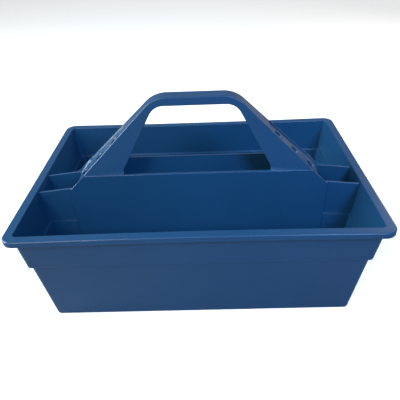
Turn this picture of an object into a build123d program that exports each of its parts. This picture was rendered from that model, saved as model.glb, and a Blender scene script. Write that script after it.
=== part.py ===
from build123d import *
import math
import os

# Tool storage caddy. Three pieces: the open tub, the hollow divider that stands in it and
# carries the hand grip, and the six screws that hold the divider down from below.
# +X is the length, +Y the back, +Z up. The origin is the middle of the underside.

# ---- Tub ---------------------------------------------------------------
length = 420.0  # over the rim
depth = 290.0  # over the rim
height = 140.0  # underside to the top of the rim
wall = 2.6
floor = 3.0
draft = 5.5  # degrees that the walls lean outwards
rim_overhang = 8.4  # edge of the rim to the outer face of the wall
rim_thickness = 2.6
skirt_height = 7.0  # turned-down edge of the rim, from its top
skirt_thickness = 2.4
rim_corner = 14.0
rim_edge = 1.8  # rounding along the outer edge of the rim
wall_corner = 7.0  # outer corner of the walls at the rim
base_corner = 6.0  # outer corner of the walls at the floor
base_edge = 2.0
step_height = 91.0  # where the outer face steps inwards
step = 2.8
ledge_rise = 2.0  # top of the ledge inside above the step outside
floor_edge = 3.0  # rounding where the walls meet the floor
ledge_edge = 0.8  # rounding of the step, inside and outside
mouth_edge = 1.0  # rounding along the inner edge of the rim
skirt_edge = 0.5

# ---- Divider and grip --------------------------------------------------
divider_middle = -23.75  # in front of the middle of the tub: the rear tray is the deeper one
divider_width = 47.5
divider_wall = 2.5
pocket_length = 43.0  # end wall to the foot of the slope, at the rim
foot_rise = 2.0  # foot of the slope above the rim
crease_rise = 20.0  # crease in the divider's sides above the rim
crease_ledge = 1.2  # how far the leaning panels stand back at the crease
grip_rise = 110.0  # top of the grip above the rim
grip_reach = 46.1  # middle of the grip to the corner where the slope would meet its top
grip_width = 18.2
grip_height = 9.6
grip_crown = 2.5  # material over the channel in the grip
shoulder_radius = 34.0
grip_edge = 1.4  # rounding along the slopes and the grip
side_edge = 0.7  # rounding of the crease and of the ends of the sides
ear_length = 2.0  # level end of the divider's sides past the foot of the slope
end_wall_setback = 6.0  # foot of the slope to the divider's end wall
end_wall = 2.2

# ---- Hand opening ------------------------------------------------------
leg_foot = 49.7  # width of each leg of the panel at the crease
leg_top = 9.3  # width of each leg at the grip
opening_heel = 6.0  # upright part at each lower corner
opening_corner = 19.0
opening_edge = 0.8

# ---- Tool holes in the slopes ------------------------------------------
web = 2.2
web_recess = 2.0  # web below the lips
recess_margin = 11.9  # end of the recess past the last hole
hole_diameter = 13.0
hole_count = 3
hole_first = 19.0  # along the slope from its foot
hole_pitch = 29.8

# ---- Stub walls: from the tub's end walls to the divider ---------------
stub_wall = 2.4
stub_drop = 3.0  # stub below the rim at the end wall
stub_edge = 0.9

# ---- Screws and fits ---------------------------------------------------
fit = 0.2  # sideways clearance between the divider and the tub
upstand_height = 6.0  # rib on the floor that the divider drops over
upstand_thickness = 2.0
screw_setback = 10.75  # screws from the outer faces of the divider's sides
screw_inset = 26.0  # outer screws from the divider's end walls
screw_length = 20.0
screw_core = 3.2
screw_head = 8.0
screw_head_height = 2.8
head_recess = 4.5
head_clearance = 1.4
shank_clearance = 1.4
pilot_clearance = 0.2
tip_clearance = 3.5  # pilot hole past the tip of the screw
seat = 3.5  # plastic between the screw's head and the boss
pad_wall = 1.3  # pad round the hole for the head
boss_wall = 3.3  # boss round the pilot hole
boss_cap = 4.0  # boss past the pilot hole
gusset = 2.4
gusset_gap = 1.0  # gusset above the rib
gusset_drop = 4.0  # top of the gusset below the top of its boss
drive_width = 1.2
drive_length = 4.6
drive_depth = 1.7

# ---- Worked out from the sizes above -----------------------------------
divider_half = divider_width / 2
ledge_height = step_height + ledge_rise
foot_height = height + foot_rise
crease_height = height + crease_rise
top_height = height + grip_rise
foot_x = length / 2 - rim_overhang - wall - pocket_length
ear_x = foot_x + ear_length
end_x = foot_x - end_wall_setback
slope_run = foot_x - grip_reach
slope_rise = top_height - foot_height
slope_length = math.hypot(slope_run, slope_rise)
along = (-slope_run / slope_length, slope_rise / slope_length)
outwards = (slope_rise / slope_length, slope_run / slope_length)
lean_run = divider_half - crease_ledge - grip_width / 2
stub_outer = divider_half - divider_wall - fit
stub_inner = stub_outer - stub_wall
last_hole = hole_first + (hole_count - 1) * hole_pitch
recess_length = last_hole + hole_diameter / 2 + recess_margin
screw_x = end_x - screw_inset
screw_y = divider_half - screw_setback
head_hole = screw_head + head_clearance
shank_hole = screw_core + shank_clearance
pilot_hole = screw_core + pilot_clearance
pad_diameter = head_hole + 2 * pad_wall
pad_height = head_recess + seat
pilot_depth = screw_length - seat + tip_clearance
boss_diameter = pilot_hole + 2 * boss_wall
boss_height = pilot_depth + boss_cap
beyond = 10.0  # how far cutting tools reach past what they cut
near = 0.01  # slack when edges are picked by where they lie
above = 1.0  # slack when edges above a level are picked


def wall_inset(z, stepped):
    """Edge of the rim to the wall's outer face at height z, above or below the step."""
    lean = (height - z) * math.tan(math.radians(draft))
    return rim_overhang + lean + (step if stepped else 0)


def wall_section(z, stepped, thickness):
    """Level section of the walls at height z, moved in by thickness."""
    inset = wall_inset(z, stepped) + thickness
    corner = base_corner + (wall_corner - base_corner) * z / height - thickness
    with BuildSketch(Plane.XY.offset(z)) as level:
        RectangleRounded(length - 2 * inset, depth - 2 * inset, corner)
    return level.sketch


def on_slope(distance, outward):
    """Point of the right-hand slope: distance up from its foot, outward from its lips."""
    x = foot_x + along[0] * distance + outwards[0] * outward
    z = foot_height + along[1] * distance + outwards[1] * outward
    return (x, z)


def slope_x(z, outward):
    """Where a line parallel to the right-hand slope has height z."""
    distance = (z - foot_height - outwards[1] * outward) / along[1]
    return on_slope(distance, outward)[0]


def across_middle():
    """Plane of the divider's middle, facing the front."""
    return Plane(origin=(0, divider_middle, 0), x_dir=(1, 0, 0), z_dir=(0, -1, 0))


def along_middle():
    """Plane across the length, with its origin on the divider's middle."""
    return Plane(origin=(0, divider_middle, 0), x_dir=(0, 1, 0), z_dir=(1, 0, 0))


def mirrored_polygon(points):
    """Closed outline from its right-hand points, from the bottom up."""
    left = [(-x, z) for x, z in reversed(points)]
    Polygon(*points, *left, align=None)


def level_edges(piece, z):
    """Edges of a piece that lie flat at height z."""
    return piece.edges().filter_by_position(Axis.Z, z - near, z + near)


def edges_above(faces, z):
    """Edges of some faces whose middles lie well above height z."""
    return faces.edges().filter_by(lambda edge: edge.center().Z > z + above)


def panel_half(z):
    """Middle of the divider to the outer face of a leaning panel at height z."""
    return divider_half - crease_ledge - lean_run * (z - crease_height) / (
        top_height - crease_height
    )


def on_panel(edge):
    """Whether an edge lies on the outer face of a leaning panel."""
    middle_point = edge @ 0.5
    stand_off = abs(middle_point.Y - divider_middle)
    return abs(stand_off - panel_half(middle_point.Z)) < near


def on_panel_side(face):
    """Whether a face of the divider is one of its two leaning panels."""
    normal = face.normal_at()
    return normal.Z > 0 and abs(normal.Y) > abs(normal.Z)


def on_stub_top(face):
    """Whether a face of the stub looks up and is part of its top."""
    return face.normal_at().Z > 0 and face.center().Z > ledge_height + above


def stub_copies():
    """The right-hand front stub and its three mirror images."""
    right = [stub.part, mirror(stub.part, about=across_middle(), mode=Mode.PRIVATE)]
    left = [mirror(wing, about=Plane.YZ, mode=Mode.PRIVATE) for wing in right]
    return right + left


screw_places = [
    (x, divider_middle + y)
    for x in (-screw_x, 0, screw_x)
    for y in (-screw_y, screw_y)
]

# ---- Tub ---------------------------------------------------------------
with BuildPart() as tub_cavity:
    loft([wall_section(floor, True, wall), wall_section(ledge_height, True, wall)])
    fillet(tub_cavity.edges().group_by(Axis.Z)[0], radius=floor_edge)
    loft([wall_section(ledge_height, False, wall), wall_section(height, False, wall)])
    fillet(level_edges(tub_cavity, ledge_height), radius=ledge_edge)

with BuildPart() as stub:
    # Thin wall from the end wall to behind the divider's side, its top rising to the foot.
    bottom = floor / 2
    wall_top = height - stub_drop
    mid = wall / 2
    thin = [
        (end_x + fit, bottom),
        (end_x + fit, foot_height - fit),
        (ear_x, foot_height - fit),
        (length / 2 - wall_inset(wall_top, False) - wall, wall_top),
        (length / 2 - wall_inset(wall_top, False) - mid, wall_top),
        (length / 2 - wall_inset(ledge_height, False) - mid, ledge_height),
        (length / 2 - wall_inset(ledge_height, True) - mid, ledge_height),
        (length / 2 - wall_inset(bottom, True) - mid, bottom),
    ]
    with BuildSketch(across_middle().offset(stub_inner)):
        Polygon(*thin, align=None)
    extrude(amount=stub_wall)
    stub_top = stub.faces().filter_by(Axis.Y, reverse=True).filter_by(on_stub_top)
    fillet(stub_top.edges().filter_by(Axis.Y, reverse=True), radius=stub_edge)
    # Thick lower part, whose top carries the ledge on and whose face lines up with the divider.
    thick = [
        (ear_x + fit, bottom),
        (ear_x + fit, ledge_height),
        (length / 2 - wall_inset(ledge_height, True) - mid, ledge_height),
        (length / 2 - wall_inset(bottom, True) - mid, bottom),
    ]
    with BuildSketch(across_middle().offset(stub_outer)):
        Polygon(*thick, align=None)
    extrude(amount=divider_half - stub_outer)

with BuildPart() as tub:
    with BuildSketch(Plane.XY.offset(height)):
        RectangleRounded(length, depth, rim_corner)
    extrude(amount=-skirt_height)
    fillet(tub.faces().sort_by(Axis.Z)[-1].edges(), radius=rim_edge)
    with BuildSketch(Plane.XY.offset(height - rim_thickness)):
        RectangleRounded(
            length - 2 * skirt_thickness,
            depth - 2 * skirt_thickness,
            rim_corner - skirt_thickness,
        )
    extrude(amount=-skirt_height, mode=Mode.SUBTRACT)
    loft([wall_section(0, True, 0), wall_section(step_height, True, 0)])
    loft([wall_section(step_height, False, 0), wall_section(height, False, 0)])
    fillet(tub.faces().sort_by(Axis.Z)[0].edges(), radius=base_edge)
    fillet(level_edges(tub, step_height), radius=ledge_edge)
    fillet(level_edges(tub, height - skirt_height), radius=skirt_edge)
    add(tub_cavity.part, mode=Mode.SUBTRACT)
    fillet(tub.faces().sort_by(Axis.Z)[-1].inner_wires().edges(), radius=mouth_edge)
    add(stub_copies())
    upstand_x = end_x - end_wall - fit
    upstand_y = divider_half - divider_wall - fit
    with BuildSketch(Plane.XY.offset(floor / 2)):
        with Locations((0, divider_middle)):
            Rectangle(2 * upstand_x, 2 * upstand_y)
            Rectangle(2 * (upstand_x - upstand_thickness), 2 * (upstand_y - upstand_thickness),
                      mode=Mode.SUBTRACT)
    extrude(amount=floor / 2 + upstand_height)
    with BuildSketch(Plane.XY.offset(floor / 2)):
        with Locations(*screw_places):
            Circle(pad_diameter / 2)
    extrude(amount=pad_height - floor / 2)
    with BuildSketch(Plane.XY):
        with Locations(*screw_places):
            Circle(head_hole / 2)
    extrude(amount=head_recess, mode=Mode.SUBTRACT)
    with BuildSketch(Plane.XY):
        with Locations(*screw_places):
            Circle(shank_hole / 2)
    extrude(amount=pad_height, mode=Mode.SUBTRACT)

# ---- Divider with the hand grip ----------------------------------------
divider_bottom = floor
lean_length = math.hypot(lean_run, top_height - crease_height)
lean_offset = divider_wall * lean_length / (top_height - crease_height)
inner_top = top_height - grip_crown
inner_lean = lean_run * (inner_top - crease_height) / (top_height - crease_height)

with BuildPart() as divider_hollow:
    with BuildSketch(along_middle()):
        mirrored_polygon([
            (divider_half - divider_wall, divider_bottom - beyond),
            (divider_half - divider_wall, crease_height - divider_wall),
            (divider_half - crease_ledge - lean_offset, crease_height),
            (divider_half - crease_ledge - lean_offset - inner_lean, inner_top),
        ])
    extrude(amount=ear_x, both=True)
    under_web = -(web + web_recess)
    hollow_end = end_x - end_wall
    end_distance = (hollow_end - on_slope(0, under_web)[0]) / along[0]
    with BuildSketch(across_middle()):
        mirrored_polygon([
            (hollow_end, divider_bottom - beyond),
            (hollow_end, on_slope(end_distance, under_web)[1]),
            (slope_x(inner_top, under_web), inner_top),
        ])
    extrude(amount=divider_width, both=True, mode=Mode.INTERSECT)

with BuildPart() as slope_channel:
    # What is cut from between the lips of both slopes, down to the web and past the end walls.
    with BuildSketch(along_middle()):
        lip_lean = lean_run * (top_height + beyond - crease_height) / (top_height - crease_height)
        mirrored_polygon([
            (divider_half - divider_wall, divider_bottom - beyond),
            (divider_half - divider_wall, crease_height - divider_wall),
            (divider_half - crease_ledge - lean_offset, crease_height),
            (divider_half - crease_ledge - lean_offset - lip_lean, top_height + beyond),
        ])
    extrude(amount=ear_x + beyond, both=True)
    end_drop = (end_x - on_slope(0, -web_recess)[0]) / along[0]
    with BuildSketch(across_middle()):
        Polygon(
            (end_x, divider_bottom - beyond),
            (end_x, on_slope(end_drop, -web_recess)[1]),
            on_slope(recess_length, -web_recess),
            on_slope(recess_length + web_recess, beyond),
            (ear_x + beyond, foot_height + beyond),
            (ear_x + beyond, divider_bottom - beyond),
            align=None,
        )
        mirror(about=Plane.YZ)
    extrude(amount=divider_width, both=True, mode=Mode.INTERSECT)

with BuildPart() as handle_divider:
    with BuildSketch(along_middle()):
        mirrored_polygon([
            (divider_half, divider_bottom),
            (divider_half, crease_height),
            (divider_half - crease_ledge, crease_height),
            (grip_width / 2, top_height),
        ])
    extrude(amount=ear_x, both=True)
    with BuildSketch(across_middle()) as side_outline:
        mirrored_polygon([
            (ear_x, divider_bottom),
            (ear_x, foot_height),
            (foot_x, foot_height),
            (grip_reach, top_height),
        ])
        fillet(side_outline.vertices().group_by(Axis.Y)[-1], radius=shoulder_radius)
    extrude(amount=divider_width, both=True, mode=Mode.INTERSECT)
    panels = handle_divider.faces().filter_by(on_panel_side)
    fillet(edges_above(panels, crease_height), radius=grip_edge)
    sides = handle_divider.faces().filter_by(Axis.Y)
    fillet(edges_above(sides, divider_bottom), radius=side_edge)
    add(divider_hollow.part, mode=Mode.SUBTRACT)
    add(slope_channel.part, mode=Mode.SUBTRACT)
    # Hand opening, through both panels.
    opening_top = top_height - grip_height
    foot_half = slope_x(crease_height, 0) - leg_foot
    top_half = slope_x(opening_top, 0) - leg_top
    with BuildSketch(across_middle()) as hand_opening:
        mirrored_polygon([
            (foot_half, crease_height),
            (foot_half, crease_height + opening_heel),
            (top_half, opening_top),
        ])
        fillet(hand_opening.vertices().group_by(Axis.Y)[-1], radius=opening_corner)
    extrude(amount=divider_width, both=True, mode=Mode.SUBTRACT)
    rim_of_opening = edges_above(handle_divider.faces(Select.LAST), crease_height)
    fillet(rim_of_opening.filter_by(on_panel), radius=opening_edge)
    # Tool holes, square to the web.
    for side in (-1, 1):
        for number in range(hole_count):
            x, z = on_slope(hole_first + number * hole_pitch, -web_recess)
            hole_plane = Plane(
                origin=(side * x, divider_middle, z),
                x_dir=(0, 1, 0),
                z_dir=(side * outwards[0], 0, outwards[1]),
            )
            with BuildSketch(hole_plane):
                Circle(hole_diameter / 2)
            extrude(amount=2 * web, both=True, mode=Mode.SUBTRACT)
    # Bosses for the screws, each tied to the side by a gusset.
    with BuildSketch(Plane.XY.offset(pad_height)):
        with Locations(*screw_places):
            Circle(boss_diameter / 2)
    extrude(amount=boss_height)
    gusset_reach = divider_half - divider_wall / 2 - screw_y
    gusset_bottom = floor + upstand_height + gusset_gap
    with BuildSketch(Plane.XY.offset(gusset_bottom)):
        for x, y in screw_places:
            outward_side = 1 if y > divider_middle else -1
            with Locations((x, y + outward_side * gusset_reach / 2)):
                Rectangle(gusset, gusset_reach)
    extrude(amount=pad_height + boss_height - gusset_drop - gusset_bottom)
    with BuildSketch(Plane.XY.offset(pad_height)):
        with Locations(*screw_places):
            Circle(pilot_hole / 2)
    extrude(amount=pilot_depth, mode=Mode.SUBTRACT)

# ---- Screws ------------------------------------------------------------
with BuildPart() as handle_screws:
    with BuildSketch(Plane.XY.offset(head_recess)):
        with Locations(*screw_places):
            Circle(screw_head / 2)
    extrude(amount=-screw_head_height)
    fillet(handle_screws.edges().group_by(Axis.Z)[0], radius=screw_head_height / 3)
    with BuildSketch(Plane.XY.offset(head_recess)):
        with Locations(*screw_places):
            Circle(screw_core / 2)
    extrude(amount=screw_length)
    chamfer(handle_screws.edges().group_by(Axis.Z)[-1], length=screw_core / 4)
    with BuildSketch(Plane.XY.offset(head_recess - screw_head_height)):
        with Locations(*screw_places):
            Rectangle(drive_length, drive_width)
            Rectangle(drive_width, drive_length)
    extrude(amount=drive_depth, mode=Mode.SUBTRACT)

# ---- Export ------------------------------------------------------------
os.makedirs("parts", exist_ok=True)
tub.part.label = "tub"
handle_divider.part.label = "handle_divider"
handle_screws.part.label = "handle_screws"
export_step(tub.part, "parts/tub.step")
export_step(handle_divider.part, "parts/handle_divider.step")
export_step(handle_screws.part, "parts/handle_screws.step")
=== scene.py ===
# %% [markdown]
# # A tool storage caddy in blue polypropylene
# The caddy is an open tub with a hollow divider standing in it. The divider carries the hand
# grip, and six screws under the floor hold it down. The CAD model fixes every size and place;
# this file makes the pieces that are seen and the finishes that they have. It is read from
# top to bottom, and each cell prints what it made or measured.

# %% Load the frame
import math
import bmesh
import bpy
from mathutils import Matrix, Vector


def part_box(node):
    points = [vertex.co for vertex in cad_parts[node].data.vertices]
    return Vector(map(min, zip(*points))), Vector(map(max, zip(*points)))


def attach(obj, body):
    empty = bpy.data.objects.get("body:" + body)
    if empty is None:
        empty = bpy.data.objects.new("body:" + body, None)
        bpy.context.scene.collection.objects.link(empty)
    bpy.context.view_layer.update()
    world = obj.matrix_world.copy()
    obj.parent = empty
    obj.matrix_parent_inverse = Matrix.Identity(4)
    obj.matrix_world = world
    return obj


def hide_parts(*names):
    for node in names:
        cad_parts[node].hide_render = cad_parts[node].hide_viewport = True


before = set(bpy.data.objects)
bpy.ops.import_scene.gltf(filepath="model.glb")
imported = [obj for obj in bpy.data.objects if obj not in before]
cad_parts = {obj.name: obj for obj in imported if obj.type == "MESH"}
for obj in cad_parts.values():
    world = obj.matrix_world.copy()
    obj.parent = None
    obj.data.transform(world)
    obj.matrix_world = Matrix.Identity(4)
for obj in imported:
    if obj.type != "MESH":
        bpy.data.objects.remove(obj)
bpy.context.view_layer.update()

tub_low, tub_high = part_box("tub")
divider_low, divider_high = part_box("handle_divider")
screws_low, screws_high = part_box("handle_screws")
MM = 0.001
LENGTH = (tub_high[0] - tub_low[0]) / MM
DEPTH = (tub_high[1] - tub_low[1]) / MM

# %% [markdown]
# ## The camera
# It comes first, because every later choice of light and finish is judged through it. The
# caddy is seen from above and in front, close by, so the rim's ends run together strongly
# towards the back. The three angles are the turns that an onlooker's head would make:
# down, a little to the side, and a slight tilt.

# %% Camera
CAMERA_PLACE = Vector((0.0131, -0.4781, 0.4220))
LOOK_DOWN = math.radians(34.95)
LOOK_ASIDE = math.radians(-1.48)
TILT = math.radians(-2.43)
FOCAL_LENGTH = 37.8  # millimetres, on a sensor 36 wide


def camera_turn(down, aside, tilt):
    """Rotation of a camera that looks along +Y before its three turns."""
    ahead = Vector((
        math.sin(aside) * math.cos(down),
        math.cos(aside) * math.cos(down),
        -math.sin(down),
    ))
    level = Vector((math.cos(aside), -math.sin(aside), 0))
    upright = level.cross(ahead)
    right = level * math.cos(tilt) + upright * math.sin(tilt)
    up = upright * math.cos(tilt) - level * math.sin(tilt)
    return Matrix((right, up, -ahead)).transposed()


camera_data = bpy.data.cameras.new("camera")
camera_data.sensor_width = 36
camera_data.lens = FOCAL_LENGTH
camera = bpy.data.objects.new("camera", camera_data)
camera.matrix_world = Matrix.Translation(CAMERA_PLACE) @ camera_turn(
    LOOK_DOWN, LOOK_ASIDE, TILT
).to_4x4()
bpy.context.scene.collection.objects.link(camera)
bpy.context.scene.camera = camera
bpy.context.scene.view_settings.view_transform = "Standard"
print("camera stands", round(CAMERA_PLACE.length, 3), "m from the middle of the underside")

# %% [markdown]
# ## Floor and light
# A pale sheet under the caddy and a few large soft lamps are all that a plastic tub needs:
# its walls are nearly flat, so they show whatever is large and bright in the room. A large
# soft box on the left gives most of the light, and a weak one behind on the right lifts the
# far rim. Two boxes in front have grids that narrow them, one warm and aimed at the left
# half, one cool and aimed at the right, which makes the two halves of the front wall differ
# although they are one plastic. The powers and tints were chosen for the look from this one
# camera; they say nothing about a real room. The sheet isn't true paper either: it looks
# white, but throws less light back at the caddy than white paper does, because with true
# paper the walls come out pale.


# %% Floor
FLOOR_SIZE = 6.0
PAPER_SEEN = (0.93, 0.93, 0.93, 1)
PAPER_BOUNCE = (0.35, 0.35, 0.35, 1)
PAPER_GLOW = 0.5  # light from below the sheet, which lifts it to white


def pale_paper():
    """Matt white paper. To the caddy it throws back less light than the eye sees on it."""
    material = bpy.data.materials.new("pale_paper")
    material.use_nodes = True
    tree = material.node_tree
    shader = tree.nodes["Principled BSDF"]
    shader.inputs["Roughness"].default_value = 0.9
    shader.inputs["Specular IOR Level"].default_value = 0.1
    shader.inputs["Emission Color"].default_value = (1, 1, 1, 1)
    seen = tree.nodes.new("ShaderNodeLightPath").outputs["Is Camera Ray"]
    paper = tree.nodes.new("ShaderNodeMix")
    paper.data_type = "RGBA"
    paper.inputs["A"].default_value = PAPER_BOUNCE
    paper.inputs["B"].default_value = PAPER_SEEN
    tree.links.new(seen, paper.inputs["Factor"])
    tree.links.new(paper.outputs["Result"], shader.inputs["Base Color"])
    glow = tree.nodes.new("ShaderNodeMath")
    glow.operation = "MULTIPLY"
    glow.inputs[1].default_value = PAPER_GLOW
    tree.links.new(seen, glow.inputs[0])
    tree.links.new(glow.outputs[0], shader.inputs["Emission Strength"])
    return material


def make_floor():
    """A pale sheet on which the caddy stands."""
    mesh = bpy.data.meshes.new("studio_floor")
    half = FLOOR_SIZE / 2
    mesh.from_pydata(
        [(-half, -half, 0), (half, -half, 0), (half, half, 0), (-half, half, 0)],
        [], [(0, 1, 2, 3)],
    )
    mesh.materials.append(pale_paper())
    floor = bpy.data.objects.new("studio_floor", mesh)
    bpy.context.scene.collection.objects.link(floor)


make_floor()
print("floor", FLOOR_SIZE, "m square")


# %% Lamps
ROOM_BRIGHTNESS = 0.25
SOFT_BOXES = (
    # name, place, target, side, spread in degrees, watts, tint
    ("box_left", (-1.4, 0.0, 0.8), (0, 0, 0.1), 0.8, 180, 33, (0.80, 0.95, 1.0)),
    ("box_right_back", (1.1, 0.9, 0.7), (0, 0, 0.1), 0.6, 180, 5, (1.0, 0.92, 0.82)),
    ("box_front_left", (-0.6, -1.1, 1.1), (-0.15, -0.08, 0.14), 0.5, 50, 1.0, (1.0, 0.78, 0.64)),
    ("box_front_right", (0.6, -1.1, 1.1), (0.15, -0.04, 0.18), 0.5, 50, 1.8, (0.34, 0.62, 1.0)),
)


def light_the_room():
    """Even light from all round, and soft boxes, two of them with grids that narrow them."""
    world = bpy.data.worlds.new("room")
    world.use_nodes = True
    world.node_tree.nodes["Background"].inputs["Color"].default_value = (1, 1, 1, 1)
    world.node_tree.nodes["Background"].inputs["Strength"].default_value = ROOM_BRIGHTNESS
    bpy.context.scene.world = world
    for name, place, target, side, spread_angle, watts, tint in SOFT_BOXES:
        light = bpy.data.lights.new(name, "AREA")
        light.size = side
        light.spread = math.radians(spread_angle)
        light.energy = watts
        light.color = tint
        lamp = bpy.data.objects.new(name, light)
        lamp.location = place
        aim = Vector(target) - Vector(place)
        lamp.rotation_euler = aim.to_track_quat("-Z", "Y").to_euler()
        bpy.context.scene.collection.objects.link(lamp)


light_the_room()
print("lit by", len(SOFT_BOXES), "soft boxes")

# %% [markdown]
# ## Blue polypropylene
# The tub and the divider are moulded in one blue, with a low gloss. Four things keep it
# from looking like flat paint: the colour drifts a little where the pigment mixed unevenly,
# the gloss is duller where hands and tools rub, the skin has a fine grain over a slow
# waviness that bends reflections, and there are hair-thin scuffs. All of it comes from
# textures in object coordinates, so it needs no picture and stays put on the piece.


# %% Helpers for nodes
def add_node(tree, kind, **settings):
    """A new node with its properties set."""
    node = tree.nodes.new(kind)
    for name, value in settings.items():
        setattr(node, name, value)
    return node


def feed(tree, socket, value):
    """Joins an output to an input, or writes a plain value on it."""
    if isinstance(value, bpy.types.NodeSocket):
        tree.links.new(value, socket)
    else:
        socket.default_value = value


def noise(tree, place, scale, detail, stretch=(1, 1, 1)):
    """Noise in object coordinates, with its grain drawn out along an axis if wanted."""
    drawn = add_node(tree, "ShaderNodeMapping")
    feed(tree, drawn.inputs["Vector"], place)
    drawn.inputs["Scale"].default_value = stretch
    texture = add_node(tree, "ShaderNodeTexNoise")
    feed(tree, texture.inputs["Vector"], drawn.outputs["Vector"])
    texture.inputs["Scale"].default_value = scale
    texture.inputs["Detail"].default_value = detail
    return texture.outputs["Fac"]


def spread(tree, value, start, end, low, high):
    """Maps a range of values onto another."""
    ranged = add_node(tree, "ShaderNodeMapRange")
    for name, number in (
        ("Value", value), ("From Min", start), ("From Max", end), ("To Min", low), ("To Max", high)
    ):
        feed(tree, ranged.inputs[name], number)
    return ranged.outputs["Result"]


def blend_colours(tree, share, first, second):
    """Mixes two colours."""
    mixed = add_node(tree, "ShaderNodeMix", data_type="RGBA")
    feed(tree, mixed.inputs["Factor"], share)
    feed(tree, mixed.inputs["A"], first)
    feed(tree, mixed.inputs["B"], second)
    return mixed.outputs["Result"]


def bump(tree, height, strength, distance, under=None):
    """A bump on top of another one."""
    relief = add_node(tree, "ShaderNodeBump")
    feed(tree, relief.inputs["Height"], height)
    relief.inputs["Strength"].default_value = strength
    relief.inputs["Distance"].default_value = distance
    if under is not None:
        feed(tree, relief.inputs["Normal"], under)
    return relief.outputs["Normal"]


print("helpers ready")

# %% Plastic material
BLUE = (0.0100, 0.068, 0.172, 1)
BLUE_DEEP = (0.0085, 0.060, 0.152, 1)
SCUFFED = (0.030, 0.100, 0.210, 1)


def moulded_plastic(name, gloss):
    """Blue plastic with pigment drift, worn gloss, grain, waviness and scuffs."""
    material = bpy.data.materials.new(name)
    material.use_nodes = True
    tree = material.node_tree
    shader = tree.nodes["Principled BSDF"]
    place = add_node(tree, "ShaderNodeTexCoord").outputs["Object"]
    drift = spread(tree, noise(tree, place, 9, 3), 0.3, 0.7, 0, 1)
    pigment = blend_colours(tree, drift, BLUE, BLUE_DEEP)
    rubbed = noise(tree, place, 90, 4, (1, 0.1, 0.6))
    scuffs = spread(tree, rubbed, 0.66, 0.80, 0, 0.22)
    feed(tree, shader.inputs["Base Color"], blend_colours(tree, scuffs, pigment, SCUFFED))
    wear = spread(tree, noise(tree, place, 26, 5), 0.3, 0.7, gloss - 0.05, gloss + 0.07)
    feed(tree, shader.inputs["Roughness"], wear)
    shader.inputs["IOR"].default_value = 1.49
    shader.inputs["Specular IOR Level"].default_value = 0.36
    shader.inputs["Coat Weight"].default_value = 0.22
    shader.inputs["Coat Roughness"].default_value = 0.14
    grain = bump(tree, noise(tree, place, 1500, 2), 0.10, 0.0002)
    wave = bump(tree, noise(tree, place, 13, 1), 0.30, 0.002, grain)
    feed(tree, shader.inputs["Normal"], wave)
    return material


tub_blue = moulded_plastic("tub_blue", 0.36)
divider_blue = moulded_plastic("divider_blue", 0.33)
print("plastics:", tub_blue.name, divider_blue.name)

# %% [markdown]
# ## The tub's profile
# Cut the tub anywhere along a wall and the same profile shows: up the outside with its step,
# under the rim, round the turned-down skirt, over the rim, and down the inside with its
# ledge to the floor. Such a wall could be modelled by hand and bevelled, but the profile says
# everything that there is to say, so it is written once, as corners with a rounding each.
# A corner has three numbers: how far it is in from the rim's edge, its height, and the
# radius that the tub's plan corners have there.

# %% Profile
HEIGHT = 140.0
WALL = 2.6
FLOOR = 3.0
RIM_OVERHANG = 8.4
RIM_THICKNESS = 2.6
SKIRT_HEIGHT = 7.0
SKIRT_THICKNESS = 2.4
STEP = 2.8
STEP_HEIGHT = 91.0
LEDGE_HEIGHT = 93.0
DRAFT = math.radians(5.5)


def wall_inset(z, stepped):
    """Rim's edge to the wall's outer face, in millimetres."""
    return RIM_OVERHANG + (HEIGHT - z) * math.tan(DRAFT) + (STEP if stepped else 0)


def plan_corner(z):
    """Radius of the outer wall's corners, seen from above."""
    return 6 + z / HEIGHT


# inset, height, plan corner, rounding
PROFILE = (
    (wall_inset(0, True) + 4, 0, 2.0, 0),
    (wall_inset(0, True), 0, plan_corner(0), 2.0),
    (wall_inset(STEP_HEIGHT, True), STEP_HEIGHT, plan_corner(STEP_HEIGHT), 0.8),
    (wall_inset(STEP_HEIGHT, False), STEP_HEIGHT, plan_corner(STEP_HEIGHT), 0.8),
    (wall_inset(HEIGHT - RIM_THICKNESS, False), HEIGHT - RIM_THICKNESS, 7.0, 0.6),
    (SKIRT_THICKNESS, HEIGHT - RIM_THICKNESS, 11.6, 0.6),
    (SKIRT_THICKNESS, HEIGHT - SKIRT_HEIGHT, 11.6, 0.5),
    (0, HEIGHT - SKIRT_HEIGHT, 14.0, 0.5),
    (0, HEIGHT, 14.0, 1.8),
    (RIM_OVERHANG + WALL, HEIGHT, 4.4, 1.0),
    (wall_inset(LEDGE_HEIGHT, False) + WALL, LEDGE_HEIGHT, plan_corner(LEDGE_HEIGHT) - WALL, 0.8),
    (wall_inset(LEDGE_HEIGHT, True) + WALL, LEDGE_HEIGHT, plan_corner(LEDGE_HEIGHT) - WALL, 0.8),
    (wall_inset(FLOOR, True) + WALL, FLOOR, plan_corner(FLOOR) - WALL, 3.0),
    (wall_inset(FLOOR, True) + WALL + 3.2, FLOOR, 0.4, 0),
)


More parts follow.
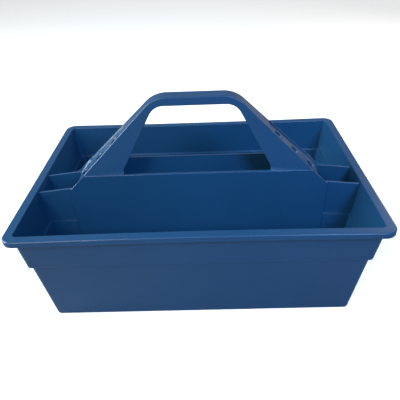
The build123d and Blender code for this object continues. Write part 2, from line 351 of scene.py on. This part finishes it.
def rounded_profile(corners, steps=6):
    """Points of the profile with its corners rounded by arcs."""
    points = []
    for number, (x, z, plan, radius) in enumerate(corners):
        here = Vector((x, z, plan))
        if radius == 0:
            points.append(here)
            continue
        before = Vector(corners[number - 1][:3]) - here
        after = Vector(corners[number + 1][:3]) - here
        way_in = before.xy.normalized()
        way_out = after.xy.normalized()
        half_turn = way_in.angle(way_out) / 2
        reach = radius / math.tan(half_turn)
        start = here + before * (reach / before.xy.length)
        end = here + after * (reach / after.xy.length)
        bisector = (way_in + way_out).normalized()
        centre = here.xy + bisector * (radius / math.sin(half_turn))
        spoke = start.xy - centre
        sweep = spoke.angle_signed(end.xy - centre)
        for step in range(steps + 1):
            share = step / steps
            towards = spoke.copy()
            towards.rotate(Matrix.Rotation(-sweep * share, 2))
            plan_here = (
                (1 - share) ** 2 * start.z + 2 * share * (1 - share) * plan + share ** 2 * end.z
            )
            points.append(Vector((*(centre + towards), plan_here)))
    return points


stations = rounded_profile(PROFILE)
print("profile has", len(stations), "stations")

# %% [markdown]
# ## Geometry Nodes carry the profile round the tub
# Each station of the profile becomes one level ring: a rectangle with rounded corners. The
# rings differ only in inset, plan radius and height, so one small node tree can place every
# point of the shell. It takes the profile as its geometry (x = inset, y = plan radius,
# z = height), makes a grid with one row for each station, and moves each grid point to its
# place on its ring. The rim of a thin-walled moulding also draws in a little between its
# corners as it cools, which the input Rim Bow gives.

# %% Tub tree
CORNER_STEPS = 9
SIDE_STEPS = 24


class TreeMaker:
    """Short words for building a Geometry Nodes tree."""

    def __init__(self, name):
        self.tree = bpy.data.node_groups.new(name, "GeometryNodeTree")
        self.interface = self.tree.interface
        self.interface.new_socket("Geometry", in_out="INPUT", socket_type="NodeSocketGeometry")
        self.interface.new_socket("Geometry", in_out="OUTPUT", socket_type="NodeSocketGeometry")
        self.start = self.tree.nodes.new("NodeGroupInput")
        self.end = self.tree.nodes.new("NodeGroupOutput")

    def ask(self, name, kind, value=None):
        """A named input of the tree."""
        socket = self.interface.new_socket(name, in_out="INPUT", socket_type=kind)
        if value is not None:
            socket.default_value = value
        return self.start.outputs[name]

    def node(self, kind, inputs=(), **settings):
        """A node with its settings and inputs."""
        made = add_node(self.tree, kind, **settings)
        for key, value in dict(inputs).items():
            feed(self.tree, made.inputs[key], value)
        return made

    def sum(self, operation, *values):
        """One step of arithmetic."""
        return self.node(
            "ShaderNodeMath", dict(enumerate(values)), operation=operation
        ).outputs[0]

    def finish(self, geometry, material):
        """Ends the tree with real geometry and its material."""
        real = self.node("GeometryNodeRealizeInstances", {"Geometry": geometry})
        dressed = self.node(
            "GeometryNodeSetMaterial", {"Geometry": real.outputs[0], "Material": material}
        )
        self.tree.links.new(dressed.outputs[0], self.end.inputs[0])
        return self.tree


def ring_spot(make, sizes, station, column):
    """Place of one point: its station's ring, and its number along that ring."""
    quarter_steps = make.sum("ADD", sizes["Corner Steps"], sizes["Side Steps"])
    quarter = make.sum("FLOOR", make.sum("DIVIDE", column, quarter_steps))
    within = make.sum("SUBTRACT", column, make.sum("MULTIPLY", quarter, quarter_steps))
    turn = make.sum("MINIMUM", make.sum("DIVIDE", within, sizes["Corner Steps"]), 1)
    past_corner = make.sum("SUBTRACT", within, sizes["Corner Steps"])
    run = make.sum("DIVIDE", make.sum("MAXIMUM", past_corner, 0), sizes["Side Steps"])
    angle = make.sum("MULTIPLY", make.sum("ADD", quarter, turn), math.pi / 2)
    sampled = make.node(
        "GeometryNodeSampleIndex",
        {
            "Geometry": make.start.outputs["Geometry"],
            "Value": make.node("GeometryNodeInputPosition").outputs[0],
            "Index": station,
        },
        data_type="FLOAT_VECTOR",
    ).outputs["Value"]
    inset, plan, z = make.node("ShaderNodeSeparateXYZ", {0: sampled}).outputs
    taken = make.sum("ADD", inset, plan)
    spot = []
    for size, wave in (("Length", "COSINE"), ("Depth", "SINE")):
        half = make.sum("DIVIDE", sizes[size], 2)
        reach = make.sum("SUBTRACT", half, taken)
        centres = []
        for number in (quarter, make.sum("ADD", quarter, 1)):
            swing = make.sum("MULTIPLY_ADD", number, math.pi / 2, math.pi / 4)
            side = make.sum("SIGN", make.sum(wave, swing))
            centres.append(make.sum("MULTIPLY", reach, side))
        travel = make.sum("MULTIPLY", make.sum("SUBTRACT", centres[1], centres[0]), run)
        centre = make.sum("ADD", centres[0], travel)
        spot.append(make.sum("MULTIPLY_ADD", make.sum(wave, angle), plan, centre))
    x, y = spot
    # The long sides draw in between the corners, most at the rim.
    along = make.sum("DIVIDE", make.sum("MULTIPLY", x, 2), sizes["Length"])
    arch = make.sum("MAXIMUM", make.sum("SUBTRACT", 1, make.sum("MULTIPLY", along, along)), 0)
    rise = make.sum("POWER", make.sum("DIVIDE", z, sizes["Height"]), 3)
    pull = make.sum("MULTIPLY", sizes["Rim Bow"], make.sum("MULTIPLY", arch, rise))
    share = make.sum("DIVIDE", make.sum("MULTIPLY", y, 2), sizes["Depth"])
    y = make.sum("SUBTRACT", y, make.sum("MULTIPLY", pull, share))
    return make.node("ShaderNodeCombineXYZ", {0: x, 1: y, 2: z}).outputs[0]


def profile_tree():
    """The tree that carries a profile round the tub and closes it with two caps."""
    make = TreeMaker("carry_profile_round")
    sizes = {
        name: make.ask(name, kind, value)
        for name, kind, value in (
            ("Length", "NodeSocketFloat", 0.4),
            ("Depth", "NodeSocketFloat", 0.3),
            ("Height", "NodeSocketFloat", 0.1),
            ("Rim Bow", "NodeSocketFloat", 0.0),
            ("Corner Steps", "NodeSocketInt", 8),
            ("Side Steps", "NodeSocketInt", 8),
        )
    }
    material = make.ask("Material", "NodeSocketMaterial")
    index = make.node("GeometryNodeInputIndex").outputs[0]
    stations_found = make.node(
        "GeometryNodeAttributeDomainSize",
        {"Geometry": make.start.outputs["Geometry"]},
        component="MESH",
    ).outputs["Point Count"]
    ring = make.sum(
        "MULTIPLY", make.sum("ADD", sizes["Corner Steps"], sizes["Side Steps"]), 4
    )
    row_length = make.sum("ADD", ring, 1)
    walls = make.node(
        "GeometryNodeMeshGrid", {"Vertices X": stations_found, "Vertices Y": row_length}
    ).outputs["Mesh"]
    row = make.sum("FLOOR", make.sum("DIVIDE", make.sum("ADD", index, 0.5), row_length))
    column = make.sum("SUBTRACT", index, make.sum("MULTIPLY", row, row_length))
    wrapped = make.sum("MODULO", column, ring)
    pieces = [make.node("GeometryNodeSetPosition", {
        "Geometry": walls, "Position": ring_spot(make, sizes, row, wrapped),
    }).outputs[0]]
    for station in (0, make.sum("SUBTRACT", stations_found, 1)):
        disc = make.node(
            "GeometryNodeMeshCircle", {"Vertices": ring}, fill_type="NGON"
        ).outputs["Mesh"]
        pieces.append(make.node("GeometryNodeSetPosition", {
            "Geometry": disc, "Position": ring_spot(make, sizes, station, index),
        }).outputs[0])
    joined = make.node("GeometryNodeJoinGeometry")
    for piece in pieces:
        make.tree.links.new(piece, joined.inputs[0])
    closed = make.node(
        "GeometryNodeMergeByDistance", {"Geometry": joined.outputs[0], "Distance": 1e-6}
    ).outputs[0]
    return make.finish(closed, material)


around = profile_tree()
print("tree", around.name, "has", len(around.nodes), "nodes")


# %% From a tree to a plain mesh
def grow(tree, seed_mesh, settings):
    """Runs a tree on a mesh and gives back the plain mesh that it makes."""
    scratch = bpy.data.objects.new("scratch", seed_mesh)
    bpy.context.scene.collection.objects.link(scratch)
    modifier = scratch.modifiers.new("grow", "NODES")
    modifier.node_group = tree
    sockets = {
        item.name: item.identifier
        for item in tree.interface.items_tree
        if item.in_out == "INPUT"
    }
    for name, value in settings.items():
        modifier[sockets[name]] = value
    grown = scratch.evaluated_get(bpy.context.evaluated_depsgraph_get())
    mesh = bpy.data.meshes.new_from_object(grown)
    bpy.data.objects.remove(scratch)
    return mesh


profile_mesh = bpy.data.meshes.new("tub_profile")
profile_mesh.from_pydata(
    [(inset * MM, plan * MM, z * MM) for inset, z, plan in stations],
    [(number, number + 1) for number in range(len(stations) - 1)], [],
)
RIM_BOW = 3.0
shell_mesh = grow(around, profile_mesh, {
    "Length": LENGTH * MM,
    "Depth": DEPTH * MM,
    "Height": HEIGHT * MM,
    "Rim Bow": RIM_BOW * MM,
    "Corner Steps": CORNER_STEPS,
    "Side Steps": SIDE_STEPS,
    "Material": tub_blue,
})
print("shell has", len(shell_mesh.polygons), "faces")

# %% [markdown]
# ## Stub walls, rib and pads
# Four stub walls stand between the tub's ends and the divider and make the end pockets. Each
# is a thin wall that laps inside the divider, with a thicker lower part that carries the
# ledge on. On the floor a rib locates the divider, and six pads take its screws. They are
# plain prisms, so each is an outline pushed through, the thin stub walls with their top edges
# bevelled, and a boolean union grows them into the shell so that the tub stays one closed
# moulding.

# %% Prisms
DIVIDER_MIDDLE = (divider_low[1] + divider_high[1]) / 2 / MM
DIVIDER_HALF = (divider_high[1] - divider_low[1]) / 2 / MM
EAR_X = divider_high[0] / MM
EAR_LENGTH = 8.0
END_X = EAR_X - EAR_LENGTH  # outer face of the divider's end wall
FOOT_HEIGHT = 142.0
FIT = 0.2
DIVIDER_WALL = 2.5
STUB_THICKNESS = 2.4
STUB_OUTER = DIVIDER_HALF - DIVIDER_WALL - FIT
STUB_INNER = STUB_OUTER - STUB_THICKNESS
STUB_DROP = 3.0
STUB_ROUNDING = 0.9
STUB_OVERLAP = 0.4
INSIDE = 1.3  # how far a piece reaches into the wall that it joins
BEVEL_STEPS = 4


def prism(name, outline, start, end, to_place, bevel_corners=(), radius=0.0):
    """Pushes an outline through from start to end and rounds some of its long edges."""
    shape = bmesh.new()
    ends = [
        [shape.verts.new(Vector(to_place(u, v, w)) * MM) for u, v in outline]
        for w in (start, end)
    ]
    shape.faces.new(ends[0])
    shape.faces.new(reversed(ends[1]))
    count = len(outline)
    for number in range(count):
        after = (number + 1) % count
        shape.faces.new((ends[0][after], ends[0][number], ends[1][number], ends[1][after]))
    bmesh.ops.recalc_face_normals(shape, faces=shape.faces)
    chosen = [
        edge for edge in shape.edges
        if any(
            {vert for vert in edge.verts} == {row[first], row[second]}
            for row in ends for first, second in bevel_corners
        )
    ]
    if chosen:
        bmesh.ops.bevel(
            shape, geom=chosen, offset=radius * MM, segments=BEVEL_STEPS, profile=0.5,
            affect="EDGES", clamp_overlap=True,
        )
    bmesh.ops.recalc_face_normals(shape, faces=shape.faces)
    mesh = bpy.data.meshes.new(name)
    shape.to_mesh(mesh)
    shape.free()
    piece = bpy.data.objects.new(name, mesh)
    bpy.context.scene.collection.objects.link(piece)
    return piece


def inner_x(z, stepped):
    """Just inside the end wall's inner face at height z."""
    return LENGTH / 2 - wall_inset(z, stepped) - INSIDE


WALL_TOP = HEIGHT - STUB_DROP
THIN_OUTLINE = (
    (END_X + FIT, FLOOR / 2),
    (END_X + FIT, FOOT_HEIGHT - FIT),
    (EAR_X, FOOT_HEIGHT - FIT),
    (inner_x(WALL_TOP, False) - INSIDE, WALL_TOP),
    (inner_x(WALL_TOP, False), WALL_TOP),
    (inner_x(LEDGE_HEIGHT, False), LEDGE_HEIGHT),
    (inner_x(LEDGE_HEIGHT, True), LEDGE_HEIGHT),
    (inner_x(FLOOR / 2, True), FLOOR / 2),
)
THICK_OUTLINE = (
    (EAR_X + FIT, FLOOR / 2),
    (EAR_X + FIT, LEDGE_HEIGHT),
    (inner_x(LEDGE_HEIGHT, True), LEDGE_HEIGHT),
    (inner_x(FLOOR / 2, True), FLOOR / 2),
)
additions = []
for end in (-1, 1):
    for side in (-1, 1):
        def stand(x, z, y):
            """Places a stub's point at one end and on one side of the divider."""
            return (end * x, DIVIDER_MIDDLE + side * y, z)

        additions.append(prism(
            "stub_thin", THIN_OUTLINE, STUB_INNER, STUB_OUTER, stand,
            ((1, 2), (2, 3), (3, 4)), STUB_ROUNDING,
        ))
        additions.append(prism(
            "stub_thick", THICK_OUTLINE, STUB_OUTER - STUB_OVERLAP, DIVIDER_HALF, stand
        ))
print("made", len(additions), "prisms for the stubs")

# %% Rib, pads and screw holes
HEAD_RADIUS = 4.0
HEAD_SEAT = 4.5
SCREW_X = (screws_high[0] - screws_low[0]) / 2 / MM - HEAD_RADIUS
SCREW_Y = (screws_high[1] - screws_low[1]) / 2 / MM - HEAD_RADIUS
SCREW_PLACES = [
    (x, DIVIDER_MIDDLE + y) for x in (-SCREW_X, 0, SCREW_X) for y in (-SCREW_Y, SCREW_Y)
]
END_WALL = 2.2
RIB_X = END_X - END_WALL - FIT
RIB_Y = STUB_OUTER
RIB_THICKNESS = 2.0
RIB_TOP = FLOOR + 6.0
PAD_RADIUS = 6.0
PAD_TOP = 8.0
HEAD_ROOM_RADIUS = 4.7
SHANK_ROOM_RADIUS = 2.3
SHANK_ROOM_START = 4.0
PAST = 1  # how far a cut goes past the face that it opens
ROUND_STEPS = 40


def upright(x, y, z):
    """An outline seen from above, pushed through upwards."""
    return (x, y, z)


def circle(x, y, radius):
    """Outline of a round piece."""
    return [
        (
            x + radius * math.cos(math.tau * step / ROUND_STEPS),
            y + radius * math.sin(math.tau * step / ROUND_STEPS),
        )
        for step in range(ROUND_STEPS)
    ]


def box_outline(x0, x1, y0, y1):
    """Outline of a square-cornered piece."""
    return ((x0, y0), (x1, y0), (x1, y1), (x0, y1))


for side in (-1, 1):
    near, far = sorted((side * (RIB_Y - RIB_THICKNESS), side * RIB_Y))
    additions.append(prism(
        "rib_long",
        box_outline(-RIB_X, RIB_X, DIVIDER_MIDDLE + near, DIVIDER_MIDDLE + far),
        FLOOR / 2, RIB_TOP, upright,
    ))
    near, far = sorted((side * (RIB_X - RIB_THICKNESS), side * RIB_X))
    additions.append(prism(
        "rib_short",
        box_outline(near, far, DIVIDER_MIDDLE - RIB_Y, DIVIDER_MIDDLE + RIB_Y),
        FLOOR / 2, RIB_TOP, upright,
    ))
removals = []
for x, y in SCREW_PLACES:
    for pile, name, radius, start, end in (
        (additions, "pad", PAD_RADIUS, FLOOR / 2, PAD_TOP),
        (removals, "head_room", HEAD_ROOM_RADIUS, -PAST, HEAD_SEAT),
        (removals, "shank_room", SHANK_ROOM_RADIUS, SHANK_ROOM_START, PAD_TOP + PAST),
    ):
        pile.append(prism(name, circle(x, y, radius), start, end, upright))
print(len(additions), "pieces to add,", len(removals), "to take away")


# %% Unite the tub
def combine(base, others, operation):
    """Unites other solids with a base solid, or takes them away, and drops the others."""
    tools = bpy.data.collections.new("tools")
    bpy.context.scene.collection.children.link(tools)
    for other in others:
        tools.objects.link(other)
    modifier = base.modifiers.new("combine", "BOOLEAN")
    modifier.operation = operation
    modifier.operand_type = "COLLECTION"
    modifier.collection = tools
    modifier.solver = "EXACT"
    modifier.use_self = True
    combined = bpy.data.meshes.new_from_object(
        base.evaluated_get(bpy.context.evaluated_depsgraph_get())
    )
    base.modifiers.clear()
    base.data = combined
    for other in others:
        bpy.data.objects.remove(other)
    bpy.data.collections.remove(tools)


def smooth_flats(mesh, sharp_angle):
    """Smooth shading that leaves flat faces flat: normals are weighted by face area."""
    for face in mesh.polygons:
        face.use_smooth = True
    mesh.set_sharp_from_angle(angle=math.radians(sharp_angle))
    scratch = bpy.data.objects.new("scratch", mesh)
    bpy.context.scene.collection.objects.link(scratch)
    weighted = scratch.modifiers.new("weighted", "WEIGHTED_NORMAL")
    weighted.keep_sharp = True
    weighted.weight = 90
    finished = bpy.data.meshes.new_from_object(
        scratch.evaluated_get(bpy.context.evaluated_depsgraph_get())
    )
    bpy.data.objects.remove(scratch)
    return finished


def tidy_solid(mesh):
    """Welds a closed solid, turns its faces outwards, and gives its volume."""
    shape = bmesh.new()
    shape.from_mesh(mesh)
    bmesh.ops.remove_doubles(shape, verts=shape.verts, dist=1e-6)
    # A large face with many corners can close over a hole that is cut into it later.
    many_cornered = [face for face in shape.faces if len(face.verts) > 4]
    bmesh.ops.triangulate(shape, faces=many_cornered)
    bmesh.ops.recalc_face_normals(shape, faces=shape.faces)
    volume = shape.calc_volume(signed=True)
    loose = sum(not edge.is_manifold for edge in shape.edges)
    shape.to_mesh(mesh)
    shape.free()
    return volume, loose


tidy_solid(shell_mesh)
tub_shell = bpy.data.objects.new("tub_shell", shell_mesh)
bpy.context.scene.collection.objects.link(tub_shell)
combine(tub_shell, additions, "UNION")
combine(tub_shell, removals, "DIFFERENCE")
tub_volume, tub_loose = tidy_solid(tub_shell.data)
tub_shell.data = smooth_flats(tub_shell.data, 40)
tub_shell.data.materials.clear()
tub_shell.data.materials.append(tub_blue)
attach(tub_shell, "root")
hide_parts("tub")
print("tub", round(tub_volume * 1e6), "cm3,", tub_loose, "open edges")

# %% [markdown]
# ## The divider and its grip
# The divider is a hollow shell whose sides crease inwards and lean together up to the grip,
# with a hand opening, sloping webs between raised lips, and three tool holes at each end.
# Every edge of it has its own rounding, which the CAD model has already worked out, so the
# CAD mesh is the best start. It is loose triangles, so a copy is welded and given normals
# that keep the flat panels flat and let the small roundings catch the light.


# %% Divider
def welded_copy(node_name, piece_name, sharp_angle):
    """A welded copy of a CAD node's mesh with weighted normals."""
    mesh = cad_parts[node_name].data.copy()
    volume, loose = tidy_solid(mesh)
    piece = bpy.data.objects.new(piece_name, smooth_flats(mesh, sharp_angle))
    bpy.context.scene.collection.objects.link(piece)
    return piece, volume, loose


divider, divider_volume, divider_loose = welded_copy("handle_divider", "divider_and_grip", 32)
divider.data.materials.clear()
divider.data.materials.append(divider_blue)
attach(divider, "root")
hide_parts("handle_divider")
print("divider", round(divider_volume * 1e6), "cm3,", divider_loose, "open edges")

# %% [markdown]
# ## Screws
# Six zinc-plated pan-head screws hold the divider down, sunk in the underside. One screw is
# made in mesh code: a round profile for head and shank, a thread whose radius follows the
# turn, and a cross recess cut into the head. Geometry Nodes then put a copy at each of the
# six places, which is how anything that repeats is best set out.

# %% Zinc plate
ZINC = (0.56, 0.57, 0.58, 1)
ZINC_PALE = (0.66, 0.66, 0.64, 1)


def zinc_plate():
    """Bright zinc with a slightly uneven passivated film."""
    material = bpy.data.materials.new("zinc_plate")
    material.use_nodes = True
    tree = material.node_tree
    shader = tree.nodes["Principled BSDF"]
    place = add_node(tree, "ShaderNodeTexCoord").outputs["Object"]
    film = spread(tree, noise(tree, place, 420, 3), 0.3, 0.7, 0, 1)
    feed(tree, shader.inputs["Base Color"], blend_colours(tree, film, ZINC, ZINC_PALE))
    shader.inputs["Metallic"].default_value = 1.0
    dull = spread(tree, noise(tree, place, 900, 4), 0.3, 0.7, 0.26, 0.44)
    feed(tree, shader.inputs["Roughness"], dull)
    feed(tree, shader.inputs["Normal"], bump(tree, noise(tree, place, 2600, 2), 0.12, 0.0001))
    return material


zinc = zinc_plate()
print("metal:", zinc.name)

# %% One screw
HEAD_HEIGHT = 2.8
HEAD_ROUNDING = 1.1
HEAD_STEPS = 6
CORE_RADIUS = 1.6
THREAD = 0.45
THREAD_PITCH = 1.8
SCREW_LENGTH = 20.0
TURN_STEPS = 32
ROWS_PER_PITCH = 8


def head_outline():
    """Radius and height of the head, from the middle of its face to the neck."""
    points = [(0.0, HEAD_SEAT - HEAD_HEIGHT)]
    for step in range(HEAD_STEPS + 1):
        turn = math.pi / 2 * step / HEAD_STEPS
        points.append((
            HEAD_RADIUS - HEAD_ROUNDING + HEAD_ROUNDING * math.sin(turn),
            HEAD_SEAT - HEAD_HEIGHT + HEAD_ROUNDING - HEAD_ROUNDING * math.cos(turn),
        ))
    points.append((HEAD_RADIUS, HEAD_SEAT))
    points.append((CORE_RADIUS, HEAD_SEAT))
    return points


def thread_height(z, turn):
    """How far the thread stands out of the core at a height and a turn."""
    start, end = HEAD_SEAT + 2.0, HEAD_SEAT + SCREW_LENGTH - 2.0
    fade = max(0, min(1, (z - start) / THREAD_PITCH, (end - z) / THREAD_PITCH))
    phase = (z / THREAD_PITCH - turn) % 1
    return THREAD * fade * max(0, 1 - abs(phase - 0.5) * 4)


def one_screw():
    """Mesh of a screw that stands on the seat of its head, head down."""
    tip = HEAD_SEAT + SCREW_LENGTH
    rows = [(radius, z, False) for radius, z in head_outline()]
    count = int(SCREW_LENGTH / THREAD_PITCH * ROWS_PER_PITCH)
    for step in range(1, count + 1):
        rows.append((CORE_RADIUS, HEAD_SEAT + (SCREW_LENGTH - 1.2) * step / count, True))
    rows.append((0.0, tip, False))
    shape = bmesh.new()
    rings = []
    for radius, z, threaded in rows:
        if radius == 0:
            rings.append([shape.verts.new((0, 0, z * MM))] * TURN_STEPS)
            continue
        ring = []
        for step in range(TURN_STEPS):
            turn = step / TURN_STEPS
            reach = radius + (thread_height(z, turn) if threaded else 0)
            ring.append(shape.verts.new((
                reach * math.cos(math.tau * turn) * MM,
                reach * math.sin(math.tau * turn) * MM,
                z * MM,
            )))
        rings.append(ring)
    for lower, upper in zip(rings, rings[1:]):
        for step in range(TURN_STEPS):
            after = (step + 1) % TURN_STEPS
            corners = (lower[step], lower[after], upper[after], upper[step])
            shape.faces.new(list(dict.fromkeys(corners)))
    bmesh.ops.recalc_face_normals(shape, faces=shape.faces)
    mesh = bpy.data.meshes.new("screw")
    shape.to_mesh(mesh)
    shape.free()
    return mesh


screw = bpy.data.objects.new("screw", one_screw())
bpy.context.scene.collection.objects.link(screw)
SLOT_LENGTH = 4.6
SLOT_WIDTH = 1.2
SLOT_DEPTH = 1.7
head_face = HEAD_SEAT - HEAD_HEIGHT
slots = [
    prism(
        "slot", box_outline(-along / 2, along / 2, -across / 2, across / 2),
        head_face - PAST, head_face + SLOT_DEPTH, upright,
    )
    for along, across in ((SLOT_LENGTH, SLOT_WIDTH), (SLOT_WIDTH, SLOT_LENGTH))
]
combine(screw, slots, "DIFFERENCE")
screw_volume, screw_loose = tidy_solid(screw.data)
print("screw", round(screw_volume * 1e9), "mm3,", screw_loose, "open edges")


# %% Set the screws out
def screw_tree():
    """A tree that stands a copy of the screw on each of its points."""
    make = TreeMaker("set_screws_out")
    original = make.ask("Screw", "NodeSocketObject")
    turn = make.ask("Turn Seed", "NodeSocketInt", 4)
    material = make.ask("Material", "NodeSocketMaterial")
    shape = make.node("GeometryNodeObjectInfo", {"Object": original}).outputs["Geometry"]
    angle = make.node(
        "FunctionNodeRandomValue", {"Seed": turn, 2: 0.0, 3: math.tau}, data_type="FLOAT"
    ).outputs[1]
    copies = make.node("GeometryNodeInstanceOnPoints", {
        "Points": make.start.outputs["Geometry"],
        "Instance": shape,
        "Rotation": make.node("ShaderNodeCombineXYZ", {2: angle}).outputs[0],
    }).outputs[0]
    return make.finish(copies, material)


places_mesh = bpy.data.meshes.new("screw_places")
places_mesh.from_pydata([(x * MM, y * MM, 0) for x, y in SCREW_PLACES], [], [])
screws_mesh = grow(screw_tree(), places_mesh, {"Screw": screw, "Turn Seed": 4, "Material": zinc})
bpy.data.objects.remove(screw)
screws = bpy.data.objects.new("screws", smooth_flats(screws_mesh, 40))
bpy.context.scene.collection.objects.link(screws)
screws.data.materials.clear()
screws.data.materials.append(zinc)
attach(screws, "root")
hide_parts("handle_screws")
print("screws have", len(screws.data.polygons), "faces")
